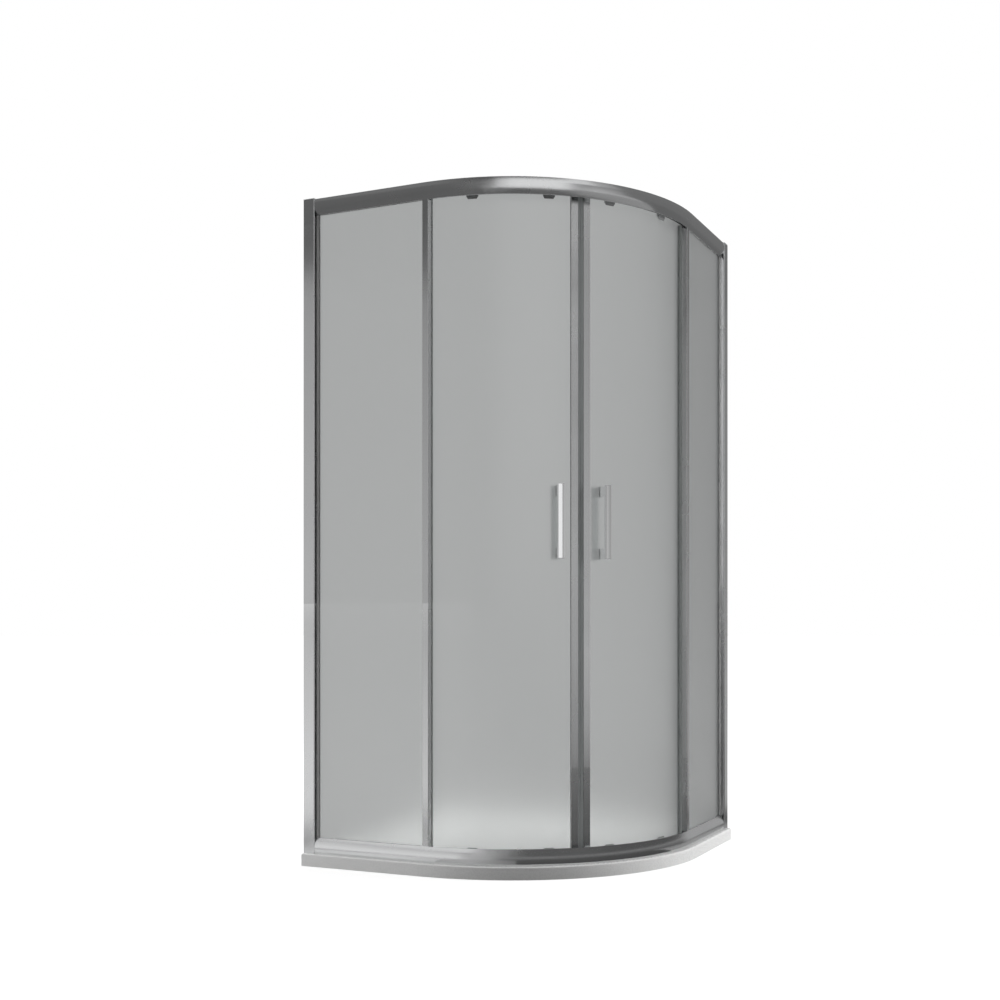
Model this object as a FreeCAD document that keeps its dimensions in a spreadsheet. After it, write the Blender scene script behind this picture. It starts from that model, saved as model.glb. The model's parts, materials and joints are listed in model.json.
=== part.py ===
"""Quadrant shower enclosure: tray, two fixed panes, two curved sliding doors and their rails.

Frame: millimetres, +Z up, origin on the floor under the centre of the tray's square.
The wall corner is at the back left (-X, +Y) and the rounded corner at the front right.
A setback is a distance in from the tray's outer edge. A drop is a distance in from the
flat side of a rail: down from the top rail's, up from the bottom rail's.
The right half mirrors the left half in the upright plane through the two corners.
"""
import FreeCAD, Part

import math
import os
import re

import Sketcher

V = FreeCAD.Vector

SIZES = [
    # tray
    ("tray_side", 1000, "side of the square that the tray fits in"),
    ("tray_radius", 612, "radius of the tray's round corner"),
    ("tray_height", 36, "floor to the flat rim"),
    ("tray_edge_round", 4, "rounding of the rim's outer edge"),
    ("basin_inset", 75, "width of the flat rim"),
    ("basin_depth", 18, "rim down to the basin's floor"),
    ("basin_slope", 30, "lean of the basin's wall, degrees"),
    ("basin_round", 6, "rounding at the foot of the basin's wall"),
    ("waste_radius", 45, "bore for the waste fitting"),
    ("waste_inset", 240, "walls to the waste's axis"),
    ("cover_radius", 56, "radius of the waste's domed cover"),
    ("cover_gap", 1, "gap around the cover"),
    ("cover_sink", 4, "depth of the cover's seat below the basin's floor"),
    ("cover_dome", 2, "rise of the cover's middle over its rim"),
    ("cover_thickness", 2, "plate of the cover"),
    ("cover_foot", 5, "side of a foot, square"),
    ("cover_foot_height", 1.5, "gap that lets the water in below the cover"),
    ("cover_foot_reach", 51.5, "cover's axis to the middle of a foot"),
    # rails: one section, mirrored top to bottom
    ("rail_setback", 12, "tray edge to the rail's fullest line"),
    ("rail_height", 45, "flat side to lip"),
    ("rail_full_drop", 14, "drop of the fullest line"),
    ("rail_lip_recess", 11, "fullest line in to the lip"),
    ("rail_wall", 1.6, "outer wall, divider and ledge"),
    ("rail_web", 2, "flat side of the rail"),
    ("rail_depth", 48, "fullest line to the inner edge"),
    ("rail_inner_lip", 7, "drop of the inner edge's fold"),
    ("divider_setback", 32.4, "wall between the panes' channel and the rollers' channel"),
    ("divider_length", 43, "drop of the divider's edge"),
    ("ledge_drop", 28.5, "drop of the face that the wheels run on"),
    ("ledge_reach", 10.5, "width of that face"),
    ("boss_setback", 15.9, "outer screw boss"),
    ("boss_inner_setback", 36.2, "inner screw boss"),
    ("boss_width", 6, "screw boss, across"),
    ("boss_drop", 7.8, "screw boss, depth from the flat side"),
    # wall profiles and the adjusters that telescope in them
    ("profile_length", 1900, "wall profile with its cap"),
    ("profile_setback", 11.2, "tray edge to the outer leg"),
    ("profile_depth", 36, "across both legs"),
    ("profile_reach", 36, "wall to the legs' edges"),
    ("profile_wall", 1.8, "wall thickness"),
    ("profile_round", 1.5, "rounding of the outer edges"),
    ("wall_hole_radius", 3.25, "screw holes to the wall"),
    ("wall_hole_count", 4, "holes in each profile"),
    ("wall_hole_pitch", 560, "from hole to hole"),
    ("cap_thickness", 1.5, "plate of the profile's cap"),
    ("cap_plug", 8, "depth of the cap's plug"),
    ("cap_plug_width", 4.5, "thickness of the cap's plug"),
    ("slide_gap", 0.2, "clearance between the profile and the adjuster"),
    ("adjuster_wall", 1.6, "legs and web"),
    ("adjuster_back", 8, "wall to the adjuster's back edges"),
    ("adjuster_front", 37, "wall to the adjuster's front edges and the rails' ends"),
    ("adjuster_web", 20, "wall to the adjuster's web"),
    ("adjuster_rib", 1.3, "ribs that hold the pane"),
    ("rail_top_gap", 2.5, "top of the wall profile down to the top rail"),
    # fixed panes
    ("glass_thickness", 6, "all panes"),
    ("pane_setback", 25.7, "tray edge to a fixed pane's outer face"),
    ("pane_side_gap", 1.2, "pane's edge to the adjuster's web"),
    ("pane_foot_gap", 3, "pane to the rail's web, at either end"),
    ("gasket_wall", 1, "gasket beyond the pane's edges"),
    ("gasket_show", 8, "gasket that shows beyond the adjuster"),
    ("gasket_outer_lip", 0.6, "gasket on the pane's outer face"),
    ("gasket_inner_lip", 0.7, "gasket on the pane's inner face"),
    ("block_length", 60, "setting block under a pane"),
    ("block_inset", 90, "setting block from the pane's end"),
    ("post_lead", 16, "fixed post's front face past the start of the bend"),
    ("post_width", 19, "post along the pane"),
    ("post_setback", 23, "tray edge to the post's outer face"),
    ("post_depth", 17.5, "post across"),
    ("post_round", 1.2, "rounding of the post's edges"),
    ("post_groove", 11, "depth of the groove for the pane"),
    ("post_wall", 1.6, "walls around the post's chamber"),
    ("groove_gap", 0.1, "play of a pane in a groove, each side"),
    # fasteners of the fixed frame
    ("rail_screw_radius", 1.85, "shank"),
    ("rail_screw_head", 3.6, "head radius"),
    ("rail_screw_grip", 22, "thread in the rail"),
    ("screw_gap", 0.05, "shank to hole"),
    ("screw_head_height", 2.4, "pan heads"),
    ("adjuster_screw_radius", 1.7, "shank"),
    ("adjuster_screw_head", 3.8, "head radius"),
    ("adjuster_screw_length", 7, "under the head"),
    ("adjuster_screw_inset", 27, "wall to the screws' axes"),
    ("adjuster_screw_low", 320, "floor to the lowest screw"),
    ("adjuster_screw_pitch", 660, "from screw to screw"),
    ("adjuster_screw_count", 3, "screws on each side"),
    ("screw_cap_radius", 6.5, "snap cap over a screw"),
    ("screw_cap_height", 4.5, "snap cap, with its dome"),
    ("screw_cap_wall", 1, "wall of the cap"),
    ("screw_cap_slope", 1.2, "slope round the cap's crown"),
    # doors
    ("door_setback", 51.5, "tray edge to a door pane's outer face"),
    ("door_end_drop", 24, "flat side of a rail to the pane's end"),
    ("door_front_inset", 17.5, "meeting line to the pane's front edge, along the bend"),
    ("door_rear_lead", 1, "pane's rear edge past the start of the bend"),
    ("hollow_gap", 0.3, "flat pieces to the pane's hollow side, at their middle"),
    ("meeting_gap", 0.4, "meeting line to each magnetic seal"),
    ("front_profile_inset", 18.5, "meeting line to the middle of the front profile"),
    ("front_profile_width", 20, "along the bend"),
    ("front_profile_cover", 2.2, "stands proud of the pane, each side"),
    ("front_profile_wall", 1.5, "walls beside the seal's groove"),
    ("front_profile_web", 3.5, "between its two grooves"),
    ("seal_groove", 5, "depth of the seal's groove"),
    ("seal_width", 5, "seal's foot, across"),
    ("seal_head_width", 9, "seal's magnetic head, across"),
    ("rear_seal_length", 13, "along the pane"),
    ("rear_seal_wall", 1.3, "legs on the pane"),
    ("rear_seal_play", 0.2, "legs to the pane"),
    ("rear_seal_lip", 10, "reach of the outward lip from the pane"),
    ("rear_seal_drop", 33, "flat side of a rail to the seal's end"),
    # rollers
    ("front_roller_inset", 92.9, "meeting line to the front rollers, along the bend"),
    ("rear_roller_inset", 307.2, "meeting line to the rear rollers, along the bend"),
    ("wheel_setback", 43, "tray edge to the wheels' middle plane"),
    ("wheel_radius", 9.5, "tread"),
    ("wheel_width", 7, "tread"),
    ("wheel_gap", 0.3, "tread to the ledge's face"),
    ("wheel_groove", 0.6, "relief between hub and rim, each face"),
    ("wheel_hub_wall", 1, "hub outside the sink for the head"),
    ("wheel_rim", 1.8, "rim inside the tread"),
    ("wheel_slope", 0.6, "slope at the tread's edges"),
    ("axle_radius", 3, "journal"),
    ("axle_gap", 0.05, "journal to wheel bore"),
    ("axle_head_radius", 4.6, "head, sunk in the wheel"),
    ("axle_head_height", 1.4, "head"),
    ("axle_head_gap", 0.2, "head and shoulder to the wheel"),
    ("axle_shoulder_radius", 4.4, "shoulder between wheel and bracket"),
    ("axle_rivet_radius", 3.8, "riveted end behind the bracket"),
    ("axle_rivet_height", 1.1, "riveted end"),
    ("bracket_thickness", 2, "bracket's plate"),
    ("bracket_top", 10, "drop of the bracket's upper edge"),
    ("bracket_neck_width", 18, "around the axle"),
    ("bracket_neck_drop", 23, "where the neck starts to widen"),
    ("bracket_width", 34, "over the pane"),
    ("bracket_width_drop", 31, "where the plate is fully wide"),
    ("bracket_tab_width", 25, "tab that shows past the lip"),
    ("bracket_tab_drop", 41, "where the tab starts to narrow"),
    ("bracket_end_drop", 48, "end of the top brackets' tab"),
    ("bracket_low_tab_drop", 37.5, "the same two of the bottom brackets"),
    ("bracket_low_end_drop", 43, "end of the bottom brackets' tab"),
    ("clamp_thickness", 2, "plate inside the pane"),
    ("clamp_width", 27, "plate inside the pane"),
    ("clamp_height", 13, "plate inside the pane"),
    ("bracket_screw_drop", 34, "drop of the bracket's screws"),
    ("bracket_screw_spread", 8, "each screw from the middle"),
    ("bracket_screw_radius", 2, "shank"),
    ("bracket_screw_head", 3.7, "head radius"),
    ("pane_hole_radius", 3.2, "holes in the door pane for those screws"),
    # handles, one outside and one inside, on shared studs
    ("handle_inset", 66.5, "meeting line to the handles' axis, along the bend"),
    ("handle_middle", 987, "floor to the handles' middle"),
    ("handle_length", 207, "bar"),
    ("handle_width", 18, "bar, across"),
    ("handle_thickness", 8.5, "bar, flat back to crown"),
    ("handle_side", 7.5, "straight side of the bar's section"),
    ("handle_stand", 28.5, "leg between washer and bar"),
    ("handle_leg_width", 9.5, "leg, across"),
    ("handle_leg_end", 4.5, "bar's end to the leg"),
    ("handle_leg_height", 23, "leg at the bar"),
    ("handle_leg_flare", 30, "leg at the pane"),
    ("handle_round", 1, "rounding of the bar's edges"),
    ("washer_thickness", 1, "soft washer between leg and pane"),
    ("stud_radius", 2.5, "stud through the pane"),
    ("stud_grip", 14, "stud inside each leg"),
    ("stud_hole_radius", 4, "hole in the pane for a stud"),
    # motion: each door turns about an upright axis near the bend's centre
    ("door_travel", 23.2, "degrees, shut to open"),
    ("pivot_along", -28.64, "left door's axis from the bend's centre, along the left pane"),
    ("pivot_across", 92.31, "left door's axis from the bend's centre, towards the back wall"),
    ("stop_length", 14, "rubber stop, along the rail"),
    ("stop_width", 16, "rubber stop, across"),
    ("stop_gap", 1, "open wheel to the stop"),
]

ALIASES = {name for name, _, _ in SIZES}

# Places that follow from the sizes, as expressions on the sheet's names.
HALF = "(tray_side / 2)"
BEND = "(tray_side / 2 - tray_radius)"
FRAME_TOP = "(tray_height + profile_length)"
RAIL_TOP = "(tray_height + profile_length - rail_top_gap)"
ADJUSTER_END = "(adjuster_front - tray_side / 2)"
DIVIDER_INNER = "(divider_setback + rail_wall)"
PANE_INNER = "(pane_setback + glass_thickness)"
DOOR_INNER = "(door_setback + glass_thickness)"
HOLLOW_SEAT = "(door_setback + glass_thickness + hollow_gap)"
BRACKET_FACE = "(door_setback - bracket_thickness)"
CLAMP_FACE = "(door_setback + glass_thickness + hollow_gap + clamp_thickness)"
AXLE_DROP = "(ledge_drop - wheel_gap - wheel_radius)"
WHEEL_OUTER = "(wheel_setback - wheel_width / 2)"
WHEEL_INNER = "(wheel_setback + wheel_width / 2)"
SINK = "(axle_head_height + axle_head_gap)"
ENDS = ("top", "bottom")

OVERRUN = 1     # millimetres that a drill starts before and ends behind a wall
TOUCH = 1e-4    # millimetres within which two places count as one

doc = FreeCAD.newDocument("QuadrantEnclosure")
sheet = doc.addObject("Spreadsheet::Sheet", "Sizes")


def fill_sheet():
    """One row a size: its name, its value and what it measures."""
    for row, (name, number, meaning) in enumerate(SIZES, start=1):
        sheet.set(f"A{row}", name)
        sheet.set(f"B{row}", str(number))
        sheet.set(f"C{row}", meaning)
        sheet.setAlias(f"B{row}", name)
    doc.recompute()


def on_sheet(text):
    """The expression with each size's name pointing into the sheet."""
    return re.sub(r"[a-z_]+", lambda m: f"Sizes.{m[0]}" if m[0] in ALIASES else m[0], str(text))


def value(text):
    """The expression's number now."""
    return float(sheet.evalExpression(on_sheet(text)))


def bind(thing, prop, text):
    """Tie a property to the sheet, and give it its number at once."""
    thing.setExpression(prop, on_sheet(text))


def along(setback):
    """Y of a setback on the left half's straight side."""
    return f"({setback} - tray_side / 2)"


def radial(setback):
    """Y of a setback in the bend's own frame, whose origin is the bend's centre."""
    return f"({setback} - tray_radius)"


def height(end, drop):
    """Z of a drop in the top or the bottom rail."""
    if end == "top":
        return f"({RAIL_TOP} - {drop})"
    return f"(tray_height + {drop})"


def station(inset):
    """Degrees from the bend's start to a piece that far from the meeting line."""
    return f"(45 - {inset} / (tray_radius - door_setback) * 180 / pi)"


# ---- makers -------------------------------------------------------------------------------

def new_body(label):
    body = doc.addObject("PartDesign::Body", label)
    body.Label = label
    return body


def plane(body, role):
    return [item for item in body.Origin.OriginFeatures if item.Role == role][0]


def arc_between(start, end, radius, turn):
    """Arc of a sketch from start to end: turn 1 runs anticlockwise, -1 clockwise."""
    chord = end - start
    middle = (start + end) / 2
    rise = math.sqrt(max(radius ** 2 - chord.Length ** 2 / 4, 0))
    normal = V(-chord.y, chord.x, 0).normalize()
    centre = middle + normal * rise * turn
    ends = [start, end] if turn > 0 else [end, start]
    first, last = (math.atan2(p.y - centre.y, p.x - centre.x) for p in ends)
    if last <= first:
        last += 2 * math.pi
    return Part.ArcOfCircle(Part.Circle(centre, V(0, 0, 1), radius), first, last)


def outline(body, name, role, corners, lift="0", rise="0", closed=True):
    """Sketch through the corners. A corner is (x, y), or (x, y, radius, turn) before an arc."""
    sketch = body.newObject("Sketcher::SketchObject", name)
    sketch.AttachmentSupport = [(plane(body, role), "")]
    sketch.MapMode = "FlatFace"
    bind(sketch, "AttachmentOffset.Base.z", lift)
    bind(sketch, "AttachmentOffset.Base.y", rise)
    points = [V(value(corner[0]), value(corner[1]), 0) for corner in corners]
    count = len(corners) if closed else len(corners) - 1
    ends = []
    for i in range(count):
        start, end = points[i], points[(i + 1) % len(points)]
        if len(corners[i]) == 4:
            radius, turn = corners[i][2:]
            index = sketch.addGeometry(arc_between(start, end, value(radius), turn), False)
            rule = sketch.addConstraint(Sketcher.Constraint("Radius", index, value(radius)))
            sketch.renameConstraint(rule, f"radius_{i}")
            bind(sketch, f"Constraints.radius_{i}", radius)
            ends.append((1, 2) if turn > 0 else (2, 1))
        else:
            sketch.addGeometry(Part.LineSegment(start, end), False)
            ends.append((1, 2))
    for i in range(count if closed else count - 1):
        follower = (i + 1) % count
        joint = Sketcher.Constraint("Coincident", i, ends[i][1], follower, ends[follower][0])
        sketch.addConstraint(joint)
    for i, corner in enumerate(corners):
        edge, tip = (i, ends[i][0]) if i < count else (i - 1, ends[i - 1][1])
        for axis, text in zip("XY", corner[:2]):
            reach = Sketcher.Constraint(f"Distance{axis}", -1, 1, edge, tip, value(text))
            rule = sketch.addConstraint(reach)
            sketch.renameConstraint(rule, f"{axis.lower()}_{i}")
            bind(sketch, f"Constraints.{axis.lower()}_{i}", text)
    return sketch


def pad(body, sketch, length, both_ways=False):
    feature = body.newObject("PartDesign::Pad", f"{sketch.Name}_pad")
    feature.Profile = sketch
    if both_ways:
        feature.Midplane = True
    bind(feature, "Length", length)
    return feature


def prism(label, role, corners, length, lift="0", both_ways=False):
    """Body of one padded outline."""
    body = new_body(label)
    pad(body, outline(body, f"{label}_outline", role, corners, lift), length, both_ways)
    return body


def turned(label, corners, role="YZ_Plane", lift="0", rise="0", axis="H_Axis"):
    """Body turned about its sketch's axis: corners are (along the axis, radius)."""
    body = new_body(label)
    sketch = outline(body, f"{label}_half", role, corners, lift, rise)
    feature = body.newObject("PartDesign::Revolution", f"{label}_turn")
    feature.Profile = sketch
    feature.ReferenceAxis = (sketch, [axis])
    feature.Angle = 360
    return body


def box(label, low, high):
    """Block between two corners."""
    block = doc.addObject("Part::Box", label)
    for prop, axis, start, end in zip(("Length", "Width", "Height"), "xyz", low, high):
        bind(block, f"Placement.Base.{axis}", start)
        bind(block, prop, f"{end} - {start}")
    return block


def drill(label, radius, start, length, towards):
    """Cylinder from start: towards is the way it runs, out (-Y) or right (+X) or up."""
    turns = {"out": (V(1, 0, 0), 90), "right": (V(0, 1, 0), 90), "up": (V(0, 0, 1), 0)}
    tool = doc.addObject("Part::Cylinder", label)
    tool.Placement = FreeCAD.Placement(V(), FreeCAD.Rotation(*turns[towards]))
    for axis, text in zip("xyz", start):
        bind(tool, f"Placement.Base.{axis}", text)
    bind(tool, "Radius", radius)
    bind(tool, "Height", length)
    return tool


def drill_wall(label, radius, start, wall, towards):
    """Drill that starts before the wall's near face and ends behind its far one."""
    step = {"out": (1, "+"), "right": (0, "-"), "up": (2, "-")}
    axis, sign = step[towards]
    start = list(start)
    start[axis] = f"({start[axis]} {sign} {OVERRUN})"
    return drill(label, radius, start, f"{wall} + {2 * OVERRUN}", towards)


def group(label, members):
    """Separate solids that share one node."""
    bundle = doc.addObject("Part::Compound", label)
    bundle.Label = label
    bundle.Links = members
    return bundle


def cut(label, base, tools):
    result = doc.addObject("Part::Cut", label)
    result.Label = label
    result.Base = base
    result.Tool = tools[0] if len(tools) == 1 else group(f"{label}_tools", tools)
    return result


def on_bend(thing, angle="0"):
    """Carry a piece from the bend's own frame to its station on the bend."""
    thing.Placement = FreeCAD.Placement(V(), FreeCAD.Rotation(V(0, 0, 1), value(angle)))
    bind(thing, "Placement.Base.x", BEND)
    bind(thing, "Placement.Base.y", f"-{BEND}")
    if angle != "0":
        bind(thing, "Placement.Rotation.Angle", f"{angle} * 1 deg")
    return thing


def mirrored(label, source):
    """The right half's twin of a piece of the left half."""
    twin = doc.addObject("Part::Mirroring", label)
    twin.Label = label
    twin.Source = source
    twin.Normal = V(1, 1, 0)
    return twin


def both_sides(name, source):
    """The left piece and its right twin."""
    source.Label = f"left_{name}"
    return [source, mirrored(f"right_{name}", source)]


def round_edges(body, radius, wanted):
    """Fillet on the edges of the body's tip that pass the test."""
    doc.recompute()
    tip = body.Tip
    names = [f"Edge{i}" for i, edge in enumerate(tip.Shape.Edges, 1) if wanted(edge)]
    fillet = body.newObject("PartDesign::Fillet", f"{body.Name}_fillet")
    fillet.Base = (tip, names)
    bind(fillet, "Radius", radius)
    return fillet


def level(edge, z):
    """True for an edge that lies wholly at that height."""
    return all(abs(vertex.Z - z) < TOUCH for vertex in edge.Vertexes)


def upright(edge):
    """True for a vertical straight edge."""
    bounds = edge.BoundBox
    return bounds.XLength + bounds.YLength < TOUCH < bounds.ZLength


# ---- tray ---------------------------------------------------------------------------------

def tray_outline(inset):
    """The tray's plan, drawn in from its edge."""
    near = f"({inset} - {HALF})"
    far = f"({HALF} - {inset})"
    return [(near, near), (BEND, near, f"tray_radius - {inset}", 1), (far, f"-{BEND}"), (far, far),
            (near, far)]


def make_tray():
    """Low moulded tray with a flat rim, a shallow basin and a seat for the waste."""
    body = new_body("tray_blank")
    pad(body, outline(body, "tray_plan", "XY_Plane", tray_outline("0")), "tray_height")
    rim = value("tray_height")
    round_edges(body, "tray_edge_round", lambda edge: level(edge, rim))
    basin = body.newObject("PartDesign::Pocket", "basin")
    basin.Profile = outline(body, "basin_plan", "XY_Plane", tray_outline("basin_inset"), "tray_height")
    bind(basin, "Length", "basin_depth")
    bind(basin, "TaperAngle", "-basin_slope")
    floor = value("tray_height - basin_depth")
    round_edges(body, "basin_round", lambda edge: level(edge, floor))
    waste = (f"waste_inset - {HALF}", f"{HALF} - waste_inset")
    seat_low = "(tray_height - basin_depth - cover_sink)"
    bore = drill("waste_bore", "waste_radius", (*waste, "0"), "tray_height", "up")
    seat = drill("waste_seat", "cover_radius + cover_gap", (*waste, seat_low), "tray_height", "up")
    return cut("shower_tray", body, [bore, seat])


def make_drain_cover():
    """Domed plate on four feet, clear of the waste's bore."""
    dome_radius = "(cover_radius ^ 2 + cover_dome ^ 2) / 2 / cover_dome"
    corners = [("0", "cover_foot_height + cover_dome", dome_radius, -1),
               ("cover_radius", "cover_foot_height"),
               ("cover_radius", "cover_foot_height + cover_thickness", dome_radius, 1),
               ("0", "cover_foot_height + cover_dome + cover_thickness")]
    cover = turned("drain_cover", corners, role="XZ_Plane", axis="V_Axis")
    reach = "cover_foot_reach"
    for i, (x, y) in enumerate([(reach, "0"), ("0", reach), (f"-{reach}", "0"), ("0", f"-{reach}")]):
        left, right = f"{x} - cover_foot / 2", f"{x} + cover_foot / 2"
        near, far = f"{y} - cover_foot / 2", f"{y} + cover_foot / 2"
        corners = [(left, near), (right, near), (right, far), (left, far)]
        pad(cover, outline(cover, f"cover_foot_{i}", "XY_Plane", corners),
            "cover_foot_height + cover_thickness / 2")
    bind(cover, "Placement.Base.x", f"waste_inset - {HALF}")
    bind(cover, "Placement.Base.y", f"{HALF} - waste_inset")
    bind(cover, "Placement.Base.z", "tray_height - basin_depth - cover_sink")
    return cover


# ---- rails --------------------------------------------------------------------------------

FULL_RADIUS = "((rail_lip_recess ^ 2 + (rail_height - rail_full_drop) ^ 2) / (2 * rail_lip_recess))"


def nose(drop, wall):
    """Setback of the rail's rounded wall at a drop: wall 0 outside, 1 inside."""
    radius = f"({FULL_RADIUS} - {wall} * rail_wall)"
    return (f"(rail_setback + {FULL_RADIUS}"
            f" - sqrt({radius} ^ 2 - ({drop} - rail_full_drop) ^ 2))")


def rail_section(end):
    """Rounded outer wall, pane channel, divider with the wheels' ledge, and inner fold."""
    inner = "(rail_setback + rail_depth)"
    fold = f"({inner} - rail_wall)"
    ledge_edge = f"({DIVIDER_INNER} + ledge_reach)"
    ledge_back = "(ledge_drop + rail_wall)"
    outer_boss = "(boss_setback + boss_width)"
    inner_boss = "(boss_inner_setback + boss_width)"
    # turn of the two arcs: the section's sense is reversed between the top and the bottom rail
    turn = -1 if end == "top" else 1
    corners = [
        ("0", nose("0", 0)), ("0", inner), ("rail_inner_lip", inner), ("rail_inner_lip", fold),
        ("rail_web", fold), ("rail_web", inner_boss), ("boss_drop", inner_boss),
        ("boss_drop", "boss_inner_setback"), ("rail_web", "boss_inner_setback"),
        ("rail_web", DIVIDER_INNER), ("ledge_drop", DIVIDER_INNER), ("ledge_drop", ledge_edge),
        (ledge_back, ledge_edge), (ledge_back, DIVIDER_INNER), ("divider_length", DIVIDER_INNER),
        ("divider_length", "divider_setback"), ("rail_web", "divider_setback"),
        ("rail_web", outer_boss), ("boss_drop", outer_boss), ("boss_drop", "boss_setback"),
        ("rail_web", "boss_setback"),
        ("rail_web", nose("rail_web", 1), f"{FULL_RADIUS} - rail_wall", -turn),
        ("rail_height", nose("rail_height", 1)),
        ("rail_height", nose("rail_height", 0), FULL_RADIUS, turn),
    ]
    return [(along(corner[1]), height(end, corner[0]), *corner[2:]) for corner in corners]


def make_rail(end):
    """Bent aluminium extrusion between the two adjusters, drilled at its ends."""
    label = f"{end}_rail"
    body = new_body(f"{label}_bar")
    line = along("rail_setback")
    path = [(ADJUSTER_END, line), (BEND, line, "tray_radius - rail_setback", 1),
            (f"-{line}", f"-{BEND}"), (f"-{line}", f"-{ADJUSTER_END}")]
    spine = outline(body, f"{label}_path", "XY_Plane", path, closed=False)
    section = outline(body, f"{label}_section", "YZ_Plane", rail_section(end), ADJUSTER_END)
    pipe = body.newObject("PartDesign::AdditivePipe", f"{label}_pipe")
    pipe.Profile = section
    pipe.Spine = (spine, ["Edge1", "Edge2", "Edge3"])
    pipe.Transition = "Transformed"
    holes = []
    for setback in ("boss_setback", "boss_inner_setback"):
        start = (ADJUSTER_END, along(f"({setback} + boss_width / 2)"), height(end, "boss_drop / 2"))
        name = f"{end}_{setback}_hole"
        hole = drill_wall(name, "rail_screw_radius + screw_gap", start, "rail_screw_grip", "right")
        holes += [hole, mirrored(f"{name}_twin", hole)]
    return cut(label, body, holes)


def make_rail_screws():
    """Long screws through the adjusters' webs into the rails' bosses."""
    screws = []
    web = f"(adjuster_web - {HALF})"
    for end in ENDS:
        for setback in ("boss_setback", "boss_inner_setback"):
            corners = [(f"{web} - screw_head_height", "0"), (f"{ADJUSTER_END} + rail_screw_grip", "0"),
                       (f"{ADJUSTER_END} + rail_screw_grip", "rail_screw_radius"),
                       (web, "rail_screw_radius"), (web, "rail_screw_head"),
                       (f"{web} - screw_head_height", "rail_screw_head")]
            middle = along(f"({setback} + boss_width / 2)")
            screw = turned(f"{end}_{setback}_screw", corners, role="XZ_Plane", lift=f"-{middle}",
                           rise=height(end, "boss_drop / 2"))
            screws += [screw, mirrored(f"{end}_{setback}_screw_twin", screw)]
    return group("rail_screws", screws)


# ---- wall side ----------------------------------------------------------------------------

def make_wall_profile():
    """Channel that is screwed to the wall, open towards the pane."""
    back = f"-{HALF}"
    front = f"(profile_reach - {HALF})"
    outer = along("profile_setback")
    inner = along("(profile_setback + profile_depth)")
    corners = [(back, outer), (front, outer), (front, f"{outer} + profile_wall"),
               (f"{back} + profile_wall", f"{outer} + profile_wall"),
               (f"{back} + profile_wall", f"{inner} - profile_wall"),
               (front, f"{inner} - profile_wall"), (front, inner), (back, inner)]
    body = prism("wall_profile_bar", "XY_Plane", corners, "profile_length - cap_thickness", "tray_height")
    side = value(outer)
    round_edges(body, "profile_round", lambda e: upright(e) and abs(e.Vertexes[0].Y - side) < TOUCH)
    holes = []
    for i in range(int(value("wall_hole_count"))):
        low = f"(tray_height + profile_length / 2 + ({i} - (wall_hole_count - 1) / 2) * wall_hole_pitch)"
        start = (back, along("(profile_setback + profile_depth / 2)"), low)
        holes.append(drill_wall(f"wall_hole_{i + 1}", "wall_hole_radius", start, "profile_wall", "right"))
    for i in adjuster_screw_numbers():
        start = (SCREW_X, inner, screw_height(i))
        name = f"profile_screw_hole_{i + 1}"
        holes.append(drill_wall(name, "adjuster_screw_radius + screw_gap", start, "profile_wall", "out"))
    return cut("left_wall_profile", body, holes)


SCREW_X = f"(adjuster_screw_inset - {HALF})"


def adjuster_screw_numbers():
    """The adjuster screws of one side, counted from 0 at the lowest."""
    return range(int(value("adjuster_screw_count")))


def screw_height(i):
    """Z of an adjuster screw by its number."""
    return f"(adjuster_screw_low + {i} * adjuster_screw_pitch)"


def make_profile_cap():
    """Cap on the wall profile's top, with a plug behind the adjuster."""
    back = f"-{HALF}"
    front = f"(profile_reach - {HALF})"
    outer = along("profile_setback")
    inner = along("(profile_setback + profile_depth)")
    low = f"({FRAME_TOP} - cap_thickness)"
    plate = box("cap_plate", (back, outer, low), (front, inner, FRAME_TOP))
    gap = "(profile_wall + slide_gap)"
    plug = box("cap_plug_block", (f"({back} + {gap})", f"({outer} + {gap})", f"({low} - cap_plug)"),
               (f"({back} + {gap} + cap_plug_width)", f"({inner} - {gap})", low))
    cap = doc.addObject("Part::MultiFuse", "left_profile_cap")
    cap.Shapes = [plate, plug]
    return cap


def make_adjuster():
    """Inner profile that slides in the wall profile and holds the pane between its ribs."""
    outer = "(profile_setback + profile_wall + slide_gap)"
    inner = "(profile_setback + profile_depth - profile_wall - slide_gap)"
    pane_out = "(pane_setback - gasket_outer_lip)"
    pane_in = f"({PANE_INNER} + gasket_inner_lip)"
    back, front = f"(adjuster_back - {HALF})", ADJUSTER_END
    web, face = f"(adjuster_web - {HALF})", f"(adjuster_web + adjuster_wall - {HALF})"
    edges = [outer, f"{outer} + adjuster_wall", f"{pane_out} - adjuster_rib", pane_out, pane_in,
             f"{pane_in} + adjuster_rib", f"{inner} - adjuster_wall", inner]
    corners = [(back, edges[0])]
    for start, end in zip(edges[0::2], edges[1::2]):
        if start != edges[0]:
            corners += [(face, start)]
        corners += [(front, start), (front, end)]
        if end != edges[-1]:
            corners += [(face, end)]
    corners += [(back, edges[-1]), (back, edges[-2]), (web, edges[-2]), (web, edges[1]), (back, edges[1])]
    corners = [(x, along(f"({setback})")) for x, setback in corners]
    body = prism("adjuster_bar", "XY_Plane", corners, f"{RAIL_TOP} - tray_height", "tray_height")
    holes = []
    for i in adjuster_screw_numbers():
        start = (SCREW_X, along(inner), screw_height(i))
        holes.append(drill_wall(f"adjuster_hole_{i + 1}", "adjuster_screw_radius + screw_gap", start,
                                "adjuster_wall", "out"))
    for end in ENDS:
        for setback in ("boss_setback", "boss_inner_setback"):
            start = (web, along(f"({setback} + boss_width / 2)"), height(end, "boss_drop / 2"))
            holes.append(drill_wall(f"{end}_{setback}_web_hole", "rail_screw_radius + screw_gap", start,
                                    "adjuster_wall", "right"))
    return cut("left_adjuster_profile", body, holes)


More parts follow.
